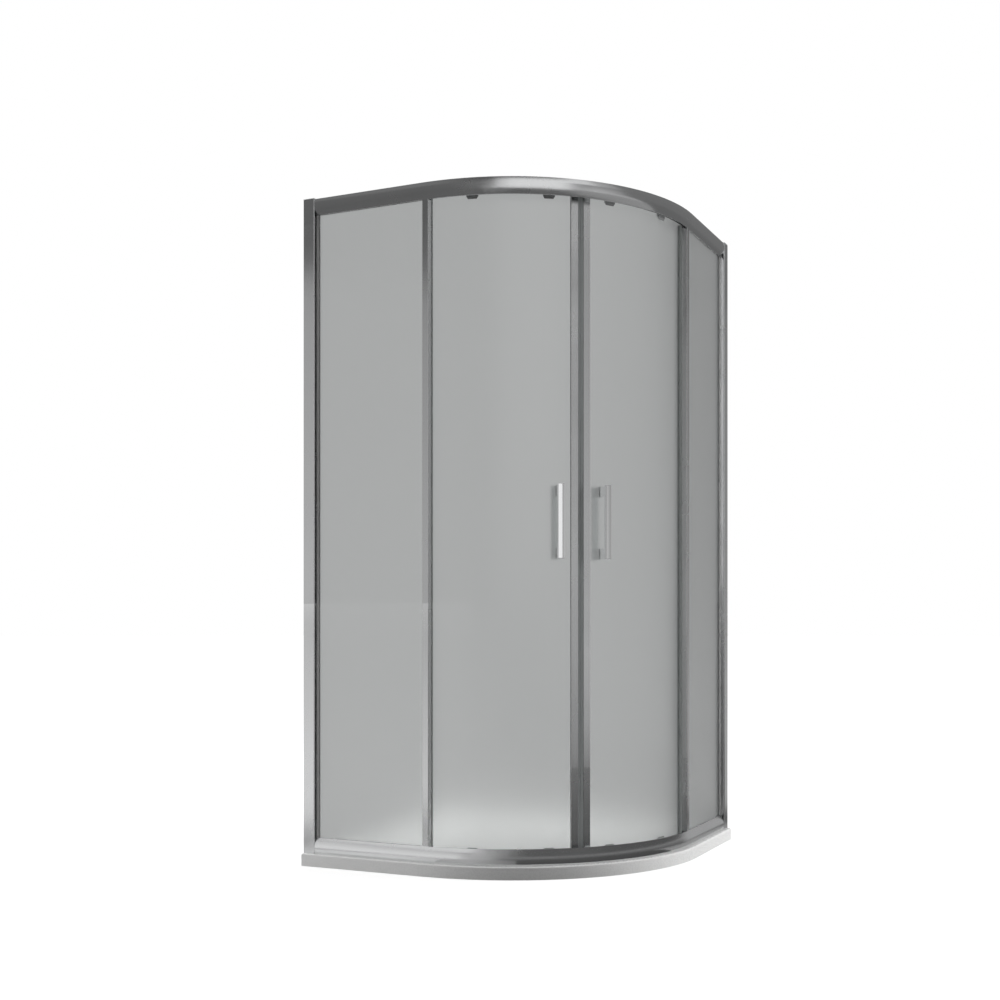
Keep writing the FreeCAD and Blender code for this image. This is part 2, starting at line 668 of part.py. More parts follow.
def make_adjuster_screws():
    """Pan-head screws, from inside the cabin, that lock the adjusters."""
    face = along("(profile_setback + profile_depth)")
    head = f"({face} + screw_head_height)"
    tip = f"({face} - adjuster_screw_length)"
    corners = [(head, "0"), (head, "adjuster_screw_head"), (face, "adjuster_screw_head"),
               (face, "adjuster_screw_radius"), (tip, "adjuster_screw_radius"), (tip, "0")]
    screws = [turned(f"adjuster_screw_{i + 1}", corners, lift=SCREW_X, rise=screw_height(i))
              for i in adjuster_screw_numbers()]
    return group("adjuster_screws", screws + [mirrored(f"{s.Name}_twin", s) for s in screws])


def make_screw_caps():
    """Snap caps that hide the adjusters' screws."""
    face = along("(profile_setback + profile_depth)")
    crown = f"({face} + screw_cap_height)"
    inside = f"({crown} - screw_cap_wall)"
    shoulder = f"({crown} - screw_cap_slope)"
    corners = [(inside, "0"), (inside, "screw_cap_radius - screw_cap_wall"),
               (face, "screw_cap_radius - screw_cap_wall"), (face, "screw_cap_radius"),
               (shoulder, "screw_cap_radius"), (crown, "screw_cap_radius - screw_cap_slope"),
               (crown, "0")]
    caps = [turned(f"screw_cap_{i + 1}", corners, lift=SCREW_X, rise=screw_height(i))
            for i in adjuster_screw_numbers()]
    return group("screw_caps", caps + [mirrored(f"{c.Name}_twin", c) for c in caps])


# ---- fixed panes --------------------------------------------------------------------------

PANE_START = f"(adjuster_web + adjuster_wall + pane_side_gap - {HALF})"
POST_FRONT = f"({BEND} + post_lead)"
POST_BACK = f"({BEND} + post_lead - post_width)"
PANE_END = f"({POST_BACK} + post_groove - groove_gap)"
PANE_LOW = "(tray_height + rail_web + pane_foot_gap)"
PANE_HIGH = f"({RAIL_TOP} - rail_web - pane_foot_gap)"


def make_fixed_glass():
    """Flat pane from the adjuster to the post."""
    return box("left_fixed_glass", (PANE_START, along("pane_setback"), PANE_LOW),
               (PANE_END, along(PANE_INNER), PANE_HIGH))


def make_gasket():
    """Channel of soft strip round the pane's wall-side, lower and upper edges."""
    low, high = f"({PANE_LOW} - gasket_wall)", f"({PANE_HIGH} + gasket_wall)"
    outer, inner = "(pane_setback - gasket_outer_lip)", f"({PANE_INNER} + gasket_inner_lip)"
    strip = box("gasket_block", (f"({PANE_START} - gasket_wall)", along(outer), low),
                (f"({PANE_END} - post_groove)", along(inner), high))
    room = box("gasket_pane_room", (PANE_START, along("pane_setback"), PANE_LOW),
               (PANE_END, along(PANE_INNER), PANE_HIGH))
    window = box("gasket_window",
                 (f"({ADJUSTER_END} + gasket_show)", along("0"), height("bottom", "rail_height")),
                 (PANE_END, along("rail_depth"), height("top", "rail_height")))
    return cut("left_glazing_gasket", strip, [room, window])


def make_setting_blocks():
    """Hard blocks that carry the panes on the bottom rail."""
    blocks = []
    outer, inner = "(pane_setback - gasket_outer_lip)", f"({PANE_INNER} + gasket_inner_lip)"
    low, high = "(tray_height + rail_web)", f"({PANE_LOW} - gasket_wall)"
    first = f"({PANE_START} + block_inset)"
    last = f"({PANE_END} - block_inset - block_length)"
    for name, start in (("wall_block", first), ("post_block", last)):
        block = box(name, (start, along(outer), low), (f"({start} + block_length)", along(inner), high))
        blocks += [block, mirrored(f"{name}_twin", block)]
    return group("setting_blocks", blocks)


def make_post():
    """Hollow extrusion on the pane's free edge, between the two rails."""
    outer = along("post_setback")
    inner = along("(post_setback + post_depth)")
    groove_out = along("(pane_setback - groove_gap)")
    groove_in = along(f"({PANE_INNER} + groove_gap)")
    floor = f"({POST_BACK} + post_groove)"
    corners = [(POST_BACK, outer), (POST_FRONT, outer), (POST_FRONT, inner), (POST_BACK, inner),
               (POST_BACK, groove_in), (floor, groove_in), (floor, groove_out), (POST_BACK, groove_out)]
    low = height("bottom", "rail_height")
    body = prism("left_fixed_post", "XY_Plane", corners, f"{height('top', 'rail_height')} - {low}", low)
    side = value(outer)
    back = value(inner)
    round_edges(body, "post_round",
                lambda e: upright(e) and min(abs(e.Vertexes[0].Y - y) for y in (side, back)) < TOUCH)
    room = [(f"{POST_BACK} + post_wall", f"{groove_in} + post_wall"),
            (f"{POST_FRONT} - post_wall", f"{groove_in} + post_wall"),
            (f"{POST_FRONT} - post_wall", f"{inner} - post_wall"),
            (f"{POST_BACK} + post_wall", f"{inner} - post_wall")]
    chamber = body.newObject("PartDesign::Pocket", "post_chamber")
    chamber.Profile = outline(body, "post_room", "XY_Plane", room, low)
    chamber.Type = "ThroughAll"
    chamber.Reversed = True
    return body


# ---- doors --------------------------------------------------------------------------------

DOOR_LOW = height("bottom", "door_end_drop")
DOOR_HIGH = height("top", "door_end_drop")
STATIONS = {"front": station("front_roller_inset"), "rear": station("rear_roller_inset")}
HANDLE_STATION = station("handle_inset")
FRONT_STATION = station("front_profile_inset")
REAR_ANGLE = "(door_rear_lead / (tray_radius - door_setback) * 180 / pi)"


def pane_hole(name, radius, x, z, angle):
    """Cylinder through the door pane at a station of the bend."""
    start = (x, radial(DOOR_INNER), z)
    tool = drill_wall(name, radius, start, "glass_thickness", "out")
    return on_bend(group(f"{name}_at", [tool]), angle)


def leg_height(i):
    """Z of a handle leg's middle: 0 for the lower leg, 1 for the upper one."""
    reach = "(handle_length / 2 - handle_leg_end - handle_leg_height / 2)"
    return f"(handle_middle + {2 * i - 1} * {reach})"


def make_door_glass():
    """Curved pane, drilled for its brackets and handles."""
    body = new_body("door_pane")
    inner, outer = f"-{radial(DOOR_INNER)}", f"-{radial('door_setback')}"
    corners = [(inner, DOOR_LOW), (outer, DOOR_LOW), (outer, DOOR_HIGH), (inner, DOOR_HIGH)]
    sketch = outline(body, "door_pane_edge", "XZ_Plane", corners)
    sweep = body.newObject("PartDesign::Revolution", "door_pane_bend")
    sweep.Profile = sketch
    sweep.ReferenceAxis = (sketch, ["V_Axis"])
    bind(sweep, "Angle", f"{station('door_front_inset')} - {REAR_ANGLE}")
    on_bend(body, f"({REAR_ANGLE} - 90)")
    holes = []
    for place, angle in STATIONS.items():
        for end in ENDS:
            z = height(end, "bracket_screw_drop")
            for side, sign in (("near", 1), ("far", -1)):
                name = f"pane_hole_{place}_{end}_{side}"
                x = f"{sign} * bracket_screw_spread"
                holes.append(pane_hole(name, "pane_hole_radius", x, z, angle))
    for i in range(2):
        name = f"pane_stud_hole_{i + 1}"
        holes.append(pane_hole(name, "stud_hole_radius", "0", leg_height(i), HANDLE_STATION))
    return cut("left_door_glass", body, holes)


def make_front_profile():
    """Upright extrusion on the door's leading edge, grooved for pane and seal."""
    side = "(front_profile_width / 2)"
    outer = radial("(door_setback - front_profile_cover)")
    inner = radial(f"({DOOR_INNER} + front_profile_cover)")
    pane_out = radial("(door_setback - groove_gap)")
    pane_in = radial(f"({DOOR_INNER} + groove_gap)")
    middle = radial("(door_setback + glass_thickness / 2)")
    slot_out, slot_in = f"({middle} - seal_width / 2)", f"({middle} + seal_width / 2)"
    pane_floor = f"({side} - seal_groove - front_profile_web)"
    seal_floor = f"({side} - seal_groove)"
    corners = [(f"-{side}", outer), (side, outer), (side, slot_out), (seal_floor, slot_out),
               (seal_floor, slot_in), (side, slot_in), (side, inner), (f"-{side}", inner),
               (f"-{side}", pane_in), (pane_floor, pane_in), (pane_floor, pane_out),
               (f"-{side}", pane_out)]
    body = prism("left_front_profile", "XY_Plane", corners, f"{DOOR_HIGH} - {DOOR_LOW}", DOOR_LOW)
    return on_bend(body, FRONT_STATION)


def make_magnet_seal():
    """Magnetic strip: a foot in the front profile's groove and a square head."""
    side = "(front_profile_width / 2)"
    middle = radial("(door_setback + glass_thickness / 2)")
    foot = "(seal_width / 2 - groove_gap)"
    head = "(seal_head_width / 2)"
    root, tip = f"({side} - seal_groove + groove_gap)", "(front_profile_inset - meeting_gap)"
    corners = [(root, f"{middle} - {foot}"), (side, f"{middle} - {foot}"), (side, f"{middle} - {head}"),
               (tip, f"{middle} - {head}"), (tip, f"{middle} + {head}"), (side, f"{middle} + {head}"),
               (side, f"{middle} + {foot}"), (root, f"{middle} + {foot}")]
    body = prism("left_magnet_seal", "XY_Plane", corners, f"{DOOR_HIGH} - {DOOR_LOW}", DOOR_LOW)
    return on_bend(body, FRONT_STATION)


def make_rear_seal():
    """Clear strip on the pane's rear edge, with a lip out towards the fixed post."""
    pane_out = radial("(door_setback - rear_seal_play)")
    pane_in = radial(f"({DOOR_INNER} + rear_seal_play)")
    outer, inner = f"({pane_out} - rear_seal_wall)", f"({pane_in} + rear_seal_wall)"
    lip = radial("(door_setback - rear_seal_lip)")
    floor = "-groove_gap"
    back, front = "-rear_seal_wall", "(rear_seal_length - rear_seal_wall)"
    corners = [(back, outer), (f"{front} - rear_seal_wall", outer), (f"{front} - rear_seal_wall", lip),
               (front, lip), (front, pane_out), (floor, pane_out), (floor, pane_in), (front, pane_in),
               (front, inner), (back, inner)]
    low, high = height("bottom", "rear_seal_drop"), height("top", "rear_seal_drop")
    body = prism("left_rear_seal", "XY_Plane", corners, f"{high} - {low}", low)
    return on_bend(body, REAR_ANGLE)


def make_handle(name, outwards):
    """Bow handle: a crowned flat bar on two flared legs, drilled for the studs."""
    way = -1 if outwards else 1
    face = "door_setback" if outwards else HOLLOW_SEAT
    seat = radial(f"({face} + {way} * washer_thickness)")
    back = f"({seat} + {way} * handle_stand)"
    shoulder = f"({back} + {way} * handle_side)"
    half = "(handle_width / 2)"
    sagitta = "(handle_thickness - handle_side)"
    crown = f"(({half} ^ 2 + {sagitta} ^ 2) / (2 * {sagitta}))"
    section = [(f"-{half}", back), (f"-{half}", shoulder, crown, -way), (half, shoulder), (half, back)]
    body = new_body(f"{name}_casting")
    low = "(handle_middle - handle_length / 2)"
    pad(body, outline(body, f"{name}_section", "XY_Plane", section, low), "handle_length")
    for i in range(2):
        middle = leg_height(i)
        corners = [(seat, f"{middle} - handle_leg_flare / 2"), (seat, f"{middle} + handle_leg_flare / 2"),
                   (shoulder, f"{middle} + handle_leg_height / 2"),
                   (shoulder, f"{middle} - handle_leg_height / 2")]
        leg = outline(body, f"{name}_leg_{i + 1}", "YZ_Plane", corners)
        pad(body, leg, "handle_leg_width", both_ways=True)
    ends = [value(low), value(f"{low} + handle_length")]
    round_edges(body, "handle_round", lambda edge: any(level(edge, z) for z in ends))
    holes = []
    for i in range(2):
        start = seat if outwards else f"({seat} + stud_grip)"
        holes.append(drill(f"{name}_stud_hole_{i + 1}", "stud_radius", ("0", start, leg_height(i)),
                           "stud_grip", "out"))
    return on_bend(cut(name, body, holes), HANDLE_STATION)


def make_handle_washers():
    """Soft washers between the handles' legs and the pane."""
    washers = []
    for i in range(2):
        for side, face, way in (("out", "door_setback", -1), ("in", HOLLOW_SEAT, 1)):
            near, far = radial(face), radial(f"({face} + {way} * washer_thickness)")
            bore, rim = "stud_radius + screw_gap", "handle_leg_width / 2"
            corners = [(near, bore), (far, bore), (far, rim), (near, rim)]
            washers.append(turned(f"washer_{side}_{i + 1}", corners, rise=leg_height(i)))
    return on_bend(group("handle_washers", washers), HANDLE_STATION)


def make_handle_studs():
    """Threaded studs that join the outer and the inner handle through the pane."""
    reach = "(washer_thickness + stud_grip)"
    outer, inner = radial(f"(door_setback - {reach})"), radial(f"({HOLLOW_SEAT} + {reach})")
    corners = [(outer, "0"), (outer, "stud_radius"), (inner, "stud_radius"), (inner, "0")]
    studs = [turned(f"stud_{i + 1}", corners, rise=leg_height(i)) for i in range(2)]
    return on_bend(group("handle_studs", studs), HANDLE_STATION)


# ---- rollers ------------------------------------------------------------------------------

def make_bracket(place, end):
    """Plate on the pane's outer face that carries one wheel, with a tab past the lip."""
    name = f"{place}_{end}_bracket"
    tab, tip = "bracket_tab_drop", "bracket_end_drop"
    if end == "bottom":
        tab, tip = "bracket_low_tab_drop", "bracket_low_end_drop"
    half = [("bracket_neck_width / 2", "bracket_top"), ("bracket_neck_width / 2", "bracket_neck_drop"),
            ("bracket_width / 2", "bracket_width_drop"), ("bracket_width / 2", tab),
            ("bracket_tab_width / 2", tip)]
    corners = [(x, height(end, drop)) for x, drop in half]
    corners += [(f"-{x}", height(end, drop)) for x, drop in reversed(half)]
    plate = prism(f"{name}_plate", "XZ_Plane", corners, "bracket_thickness", f"-{radial('door_setback')}")
    back = radial("door_setback")
    holes = [drill_wall(f"{name}_axle_hole", "axle_radius", ("0", back, height(end, AXLE_DROP)),
                        "bracket_thickness", "out")]
    for side, sign in (("near", 1), ("far", -1)):
        start = (f"{sign} * bracket_screw_spread", back, height(end, "bracket_screw_drop"))
        holes.append(drill_wall(f"{name}_{side}_hole", "bracket_screw_radius", start,
                                "bracket_thickness", "out"))
    return on_bend(cut(name, plate, holes), STATIONS[place])


def make_clamps():
    """Plates inside the pane that the brackets' screws pull against."""
    clamps = []
    for place, angle in STATIONS.items():
        for end in ENDS:
            name = f"{place}_{end}_clamp"
            drops = ("(bracket_screw_drop - clamp_height / 2)", "(bracket_screw_drop + clamp_height / 2)")
            low, high = sorted((height(end, drop) for drop in drops), key=value)
            plate = box(f"{name}_plate", ("(-clamp_width / 2)", radial(HOLLOW_SEAT), low),
                        ("(clamp_width / 2)", radial(CLAMP_FACE), high))
            holes = []
            for side, sign in (("near", 1), ("far", -1)):
                start = (f"{sign} * bracket_screw_spread", radial(CLAMP_FACE),
                         height(end, "bracket_screw_drop"))
                holes.append(drill_wall(f"{name}_{side}_hole", "bracket_screw_radius + screw_gap", start,
                                        "clamp_thickness", "out"))
            clamps.append(on_bend(cut(name, plate, holes), angle))
    return group("bracket_clamps", clamps)


def make_bracket_screws():
    """Two screws a bracket: head inside, thread in the bracket's plate."""
    screws = []
    face = radial(CLAMP_FACE)
    head, tip = f"({face} + screw_head_height)", radial(BRACKET_FACE)
    corners = [(head, "0"), (head, "bracket_screw_head"), (face, "bracket_screw_head"),
               (face, "bracket_screw_radius"), (tip, "bracket_screw_radius"), (tip, "0")]
    for place, angle in STATIONS.items():
        for end in ENDS:
            pair = [turned(f"{place}_{end}_screw_{side}", corners, lift=f"{sign} * bracket_screw_spread",
                           rise=height(end, "bracket_screw_drop"))
                    for side, sign in (("near", 1), ("far", -1))]
            screws.append(on_bend(group(f"{place}_{end}_screws", pair), angle))
    return group("bracket_screws", screws)


def make_axles():
    """Riveted pins with a sunk head and a shoulder, one a wheel."""
    axles = []
    face, rivet = radial(BRACKET_FACE), radial("door_setback")
    head = radial(f"({WHEEL_OUTER} + axle_head_gap)")
    neck = f"({head} + axle_head_height)"
    shoulder = radial(f"({WHEEL_INNER} + axle_head_gap)")
    end_face = f"({rivet} + axle_rivet_height)"
    corners = [(head, "0"), (head, "axle_head_radius"), (neck, "axle_head_radius"), (neck, "axle_radius"),
               (shoulder, "axle_radius"), (shoulder, "axle_shoulder_radius"),
               (face, "axle_shoulder_radius"), (face, "axle_radius"), (rivet, "axle_radius"),
               (rivet, "axle_rivet_radius"), (end_face, "axle_rivet_radius"), (end_face, "0")]
    for place, angle in STATIONS.items():
        for end in ENDS:
            axle = turned(f"{place}_{end}_axle", corners, rise=height(end, AXLE_DROP))
            axles.append(on_bend(axle, angle))
    return group("roller_axles", axles)


def make_wheel(place, end):
    """Nylon wheel, counterbored for the axle's head."""
    outer, inner = radial(WHEEL_OUTER), radial(WHEEL_INNER)
    seat = f"({outer} + {SINK} + axle_head_gap)"
    bore, sink = "(axle_radius + axle_gap)", "(axle_head_radius + axle_head_gap)"
    hub, rim = f"({sink} + wheel_hub_wall)", "(wheel_radius - wheel_rim)"
    relief_out, relief_in = f"({outer} + wheel_groove)", f"({inner} - wheel_groove)"
    corners = [(seat, bore), (seat, sink), (outer, sink), (outer, hub), (relief_out, hub),
               (relief_out, rim), (outer, rim), (outer, "wheel_radius - wheel_slope"),
               (f"{outer} + wheel_slope", "wheel_radius"), (f"{inner} - wheel_slope", "wheel_radius"),
               (inner, "wheel_radius - wheel_slope"), (inner, rim), (relief_in, rim),
               (relief_in, hub), (inner, hub), (inner, bore)]
    wheel = turned(f"{place}_{end}_wheel", corners, rise=height(end, AXLE_DROP))
    return on_bend(wheel, STATIONS[place])


def make_door_stops():
    """Rubber blocks in the top rail that the rear wheels meet when the doors are open."""
    angle = STATIONS["rear"]
    reach = "(tray_radius - wheel_setback)"
    # the rear wheel's middle from the door's axis, shut, and its X when the door is open
    across = f"({reach} * sin({angle}) - pivot_along)"
    deep = f"(-{reach} * cos({angle}) - pivot_across)"
    turned_x = f"({across} * cos(door_travel) + {deep} * sin(door_travel))"
    face = f"({BEND} + pivot_along + {turned_x} - wheel_radius - stop_gap)"
    stop = box("left_stop", (f"({face} - stop_length)", along(DIVIDER_INNER), height("top", "ledge_drop")),
               (face, along(f"({DIVIDER_INNER} + stop_width)"), height("top", "boss_drop")))
    return group("door_stops", [stop, mirrored("right_stop", stop)])


# ---- the whole ----------------------------------------------------------------------------

def build():
    """All sub-parts, as a list of (node name, object)."""
    single = [make_tray(), make_drain_cover(), make_rail("top"), make_rail("bottom"), make_rail_screws(),
              make_adjuster_screws(), make_screw_caps(), make_setting_blocks(), make_door_stops()]
    pairs = [("wall_profile", make_wall_profile()), ("profile_cap", make_profile_cap()),
             ("adjuster_profile", make_adjuster()), ("fixed_glass", make_fixed_glass()),
             ("glazing_gasket", make_gasket()), ("fixed_post", make_post()),
             ("door_glass", make_door_glass()), ("front_profile", make_front_profile()),
             ("magnet_seal", make_magnet_seal()), ("rear_seal", make_rear_seal()),
             ("outer_handle", make_handle("left_outer_handle", True)),
             ("inner_handle", make_handle("left_inner_handle", False)),
             ("handle_washers", make_handle_washers()), ("handle_studs", make_handle_studs()),
             ("bracket_clamps", make_clamps()), ("bracket_screws", make_bracket_screws()),
             ("roller_axles", make_axles())]
    for place in STATIONS:
        for end in ENDS:
            pairs.append((f"{place}_{end}_bracket", make_bracket(place, end)))
            pairs.append((f"{place}_{end}_wheel", make_wheel(place, end)))
    nodes = [(piece.Label, piece) for piece in single]
    for name, source in pairs:
        nodes += [(piece.Label, piece) for piece in both_sides(name, source)]
    return nodes


def check(nodes):
    """Stop on a failed object or a broken shape."""
    for item in doc.Objects:
        if "Invalid" in item.State or "Error" in item.State:
            raise RuntimeError(f"{item.Name} failed: {item.State}")
    for name, item in nodes:
        if item.Shape.isNull() or not item.Shape.isValid() or not item.Shape.Solids:
            raise RuntimeError(f"{name} has no sound shape")


def write(nodes):
    os.makedirs("parts", exist_ok=True)
    for name, item in nodes:
        item.Shape.exportStep(f"parts/{name}.step")


fill_sheet()
pieces = build()
doc.recompute()
check(pieces)
write(pieces)
for label, piece in pieces:
    print(label, len(piece.Shape.Solids), round(piece.Shape.Volume / 1000, 2))
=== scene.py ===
"""Quadrant shower enclosure: finishes, fine pieces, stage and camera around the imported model."""
import json
import math

import bmesh
import bpy
from bpy.props import FloatProperty, FloatVectorProperty, PointerProperty
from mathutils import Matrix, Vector

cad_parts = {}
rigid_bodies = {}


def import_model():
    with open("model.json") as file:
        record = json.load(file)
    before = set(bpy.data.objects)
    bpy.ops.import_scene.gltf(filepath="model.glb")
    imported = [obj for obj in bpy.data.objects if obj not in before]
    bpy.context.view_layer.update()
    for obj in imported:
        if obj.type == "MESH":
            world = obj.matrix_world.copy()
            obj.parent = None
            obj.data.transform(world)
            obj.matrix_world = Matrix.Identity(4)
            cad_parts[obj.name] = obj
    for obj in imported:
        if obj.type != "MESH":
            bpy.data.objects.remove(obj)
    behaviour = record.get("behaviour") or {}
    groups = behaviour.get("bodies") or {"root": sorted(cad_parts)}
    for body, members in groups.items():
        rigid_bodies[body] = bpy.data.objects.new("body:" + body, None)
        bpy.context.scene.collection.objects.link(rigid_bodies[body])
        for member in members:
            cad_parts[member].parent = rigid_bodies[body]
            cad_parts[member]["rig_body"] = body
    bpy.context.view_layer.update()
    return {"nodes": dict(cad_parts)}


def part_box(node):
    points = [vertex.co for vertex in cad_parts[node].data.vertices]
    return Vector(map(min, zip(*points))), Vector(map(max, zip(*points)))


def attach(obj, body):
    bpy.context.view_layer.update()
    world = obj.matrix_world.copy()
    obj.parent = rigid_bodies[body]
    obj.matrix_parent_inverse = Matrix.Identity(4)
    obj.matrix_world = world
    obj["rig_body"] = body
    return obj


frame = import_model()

bl_info = {
    "name": "Quadrant Shower Enclosure",
    "version": (1, 0, 0),
    "blender": (4, 5, 0),
    "location": "3D View > Sidebar > Enclosure",
    "description": "Finishes and fine pieces of a quadrant shower enclosure",
    "category": "Object",
}

NODES = frame["nodes"]
SIDES = ("left", "right")
PLACES = ("front_top", "rear_top", "front_bottom", "rear_bottom")
# soft pads between the fixed posts' ends and the rails' ledges, in metres
PAD_DEPTH = 0.0062
PAD_HEIGHT = 0.0136
PAD_GAP = 0.0002
PAD_ROUND = 0.0006

# finishes: scales and clouds are noise scales per metre, a relief is (strength, depth in metres),
# a blur is the range of a roughness in shares of its middle value
NOISE_LOW, NOISE_HIGH = 0.3, 0.7
# how a metal's lines run: the smaller an axis's number, the longer the lines along it
RAIL_LINES = (0.02, 0.02, 1)
UPRIGHT_LINES = (1, 1, 0.01)
HANDLE_LINES = (1, 1, 0.02)
NO_LINES = (1, 1, 1)
METAL_SCALE, METAL_CLOUDS = 420, 9
METAL_RELIEF = (0.05, 0.00003)
METAL_BLUR = (0.85, 1.2)
# painted shade: the posts take the rails' aluminium darkened by this share
POST_PAINTED_SHADE = 0.85
GLASS_IOR = 1.5
FROST_SCALE, FROST_CLOUDS = 1600, 3.5
FROST_RELIEF = (0.15, 0.00004)
FROST_BLUR = (0.97, 1.03)
FROST_DEPTH = 0.012
RESIN_SCALE, RESIN_CLOUDS = 260, 5
RESIN_RELIEF = (0.2, 0.0001)
RESIN_ROUGHNESS = (0.22, 0.34)
RESIN_DEPTH = 0.02
COAT_WEIGHT, COAT_ROUGHNESS = 0.3, 0.12
PLASTIC_SCALE = 700
PLASTIC_RELIEF = (0.3, 0.00006)
PLASTIC_BLUR = (0.9, 1.1)

# stage, in metres: stops by heading are (degrees from +X towards +Y, grey), and stops by height are
# (share of the surround's radius, grey)
SURROUND_RADIUS = 8
SURROUND_SEGMENTS, SURROUND_RINGS = 64, 32
SURROUND_FOOT = -0.01
SURROUND_BY_HEADING = ((-180, 0.45), (-150, 0.7), (-121, 0.8), (-100, 0.65), (-80, 0.25), (-60, 0.15),
                       (-40, 0.35), (-25, 0.58), (-18, 0.74), (0, 0.55), (30, 0.45), (53, 0.5),
                       (73, 0.42), (130, 0.4), (180, 0.45))
SURROUND_BY_HEIGHT = ((0, 1), (0.1, 0.76), (0.42, 0.53), (0.55, 0.3), (0.75, 0.25), (1, 0.25))
FLOOR_BY_HEADING = ((-180, 0.6), (-150, 0.75), (-115, 0.75), (-100, 0.6), (-80, 0.2), (-65, 0.1),
                    (-40, 0.1), (-21, 0.33), (0, 0.32), (30, 0.35), (73, 0.38), (130, 0.4), (180, 0.6))
FLOOR_RADIUS, FLOOR_SEGMENTS, FLOOR_DROP = 60, 96, 0.0006
FLOOR_GREY, FLOOR_CLOUDS, FLOOR_DEPTH, FLOOR_ROUGHNESS = 0.3, 2, 0.02, 0.9
# the floor's own light, which only the camera sees, by the distance from the middle
FLOOR_FADE = (("From Min", 0.7), ("From Max", 2.6), ("To Min", 0.82), ("To Max", 1.0))
SIDE_LAMP_REACH, SIDE_LAMP_RISE, SIDE_LAMP_SIZE = 4, 1.4, 2.4
RIGHT_LAMP_HEADING, LEFT_LAMP_HEADING = 30, -150
TOP_LAMP_PLACE, TOP_LAMP_SIZE = (0.1, 0.3, 4.4), 2.5
LAMP_TARGET = (0, 0, 0.9)
SENSOR_WIDTH = 36
SWEEP_STEPS = 48
# upright cards: headings, heights, distance from the middle, grey at the foot and at the head
CARDS = ((-74, -34, 0.8, 3.9, 3.0, 0.95, 0.95), (-34, -18, 2.85, 4.6, 3.0, 0.85, 0.8),
         (-18, -3, 2.8, 7, 3.0, 0.42, 0.42), (-3, 95, 2.65, 7, 3.0, 0.2, 0.2),
         (-180, -82, 1.88, 2.3, 1.35, 0.14, 0.14), (-8, 90, 1.88, 2.3, 1.35, 0.19, 0.19),
         (-180, -92, 0.004, 0.75, 1.35, 0.95, 0.55), (-92, -76, 0.004, 0.5, 1.35, 0.5, 0.4),
         (-76, 42, 0.004, 0.29, 1.3, 0.07, 0.3), (42, 110, 0.004, 0.5, 1.35, 0.42, 0.42))
# level cards: middle, headings, distances from the middle, height, grey at each heading, and
# whether metal sees them from above
MIDDLE, BEND = (0, 0), (-0.112, 0.112)
SHELVES = ((MIDDLE, -180, -82, 0.05, 3.0, 1.86, 0.13, 0.13, True),
           (MIDDLE, -8, 90, 0.05, 3.0, 1.86, 0.16, 0.16, True),
           (MIDDLE, -180, -88, 0.05, 1.35, 0.76, 0.8, 0.8, False),
           (MIDDLE, -88, -66, 0.05, 3.0, 0.3, 0.6, 0.12, False),
           (MIDDLE, -66, 42, 0.05, 3.0, 0.3, 0.1, 0.1, False),
           (BEND, -86, -64, 0.5995, 0.9, 0.0405, 0.45, 0.1, True),
           (BEND, -64, -14, 0.5995, 0.9, 0.0405, 0.08, 0.08, True),
           (MIDDLE, -180, 180, 1.0, 2.4, 0.002, 0.12, 0.12, True))


# ---- what a user can change ---------------------------------------------------------------

def colour(name, description, default):
    """A colour property with its default."""
    return FloatVectorProperty(name=name, description=description, default=default, size=3,
                               subtype="COLOR", min=0, max=1)


def share(name, description, default):
    """A number from 0 to 1."""
    return FloatProperty(name=name, description=description, default=default, min=0, max=1,
                         subtype="FACTOR")


class EnclosureFinish(bpy.types.PropertyGroup):
    """Colours and surfaces."""
    glass: colour("Glass", "Tint of the frosted panes", (0.93, 0.95, 0.945))
    glass_roughness: share("Frost", "Blur of the frosted panes", 0.3)
    metal: colour("Metal", "Rails, profiles and posts", (0.72, 0.725, 0.73))
    metal_roughness: share("Metal roughness", "Gloss of the rails and profiles", 0.24)
    chrome: colour("Chrome", "Handles and waste cover", (0.86, 0.865, 0.87))
    chrome_roughness: share("Chrome roughness", "Gloss of the chrome", 0.1)
    steel: colour("Steel", "Screws, studs and axles", (0.55, 0.55, 0.54))
    tray: colour("Tray", "Cast resin of the tray", (0.9, 0.9, 0.895))
    seal: colour("Seal", "Clear strips on the doors", (0.7, 0.73, 0.72))
    magnet: colour("Magnetic strip", "Strips where the doors meet", (0.36, 0.38, 0.38))
    gasket: colour("Gaskets", "Soft strips round the fixed panes", (0.8, 0.805, 0.8))
    rubber: colour("Rubber", "Blocks and stops", (0.2, 0.2, 0.205))
    nylon: colour("Nylon", "Wheels and washers", (0.78, 0.78, 0.75))
    cap: colour("Caps", "Plastic caps of the profiles and screws", (0.45, 0.455, 0.46))
    bracket: colour("Brackets", "Coated brackets of the wheels", (0.34, 0.345, 0.35))


class EnclosureStage(bpy.types.PropertyGroup):
    """Light and camera."""
    fill: FloatProperty(name="Fill", description="Light from all round", default=0.208, min=0)
    behind_glass: share("Behind glass", "Grey that the panes show behind the object", 0.44)
    right_lamp: FloatProperty(name="Right lamp", description="Power of the lamp at the right",
                              default=140, min=0, unit="POWER")
    left_lamp: FloatProperty(name="Left lamp", description="Power of the lamp at the left",
                             default=86, min=0, unit="POWER")
    top_lamp: FloatProperty(name="Top lamp", description="Power of the lamp overhead", default=130,
                            min=0, unit="POWER")
    camera_place: FloatVectorProperty(name="Camera", description="Where the camera stands",
                                      default=(1.6875, -3.8273, 0.7107), size=3, unit="LENGTH")
    camera_turn: FloatProperty(name="Camera turn", description="Camera's heading from +Y towards -X",
                               default=math.radians(25), unit="ROTATION")
    lens: FloatProperty(name="Lens", description="Focal length in millimetres", default=48.89, min=1)
    lens_rise: FloatProperty(name="Lens rise", description="Upward shift of the lens",
                             default=0.1209)


# ---- node trees ---------------------------------------------------------------------------

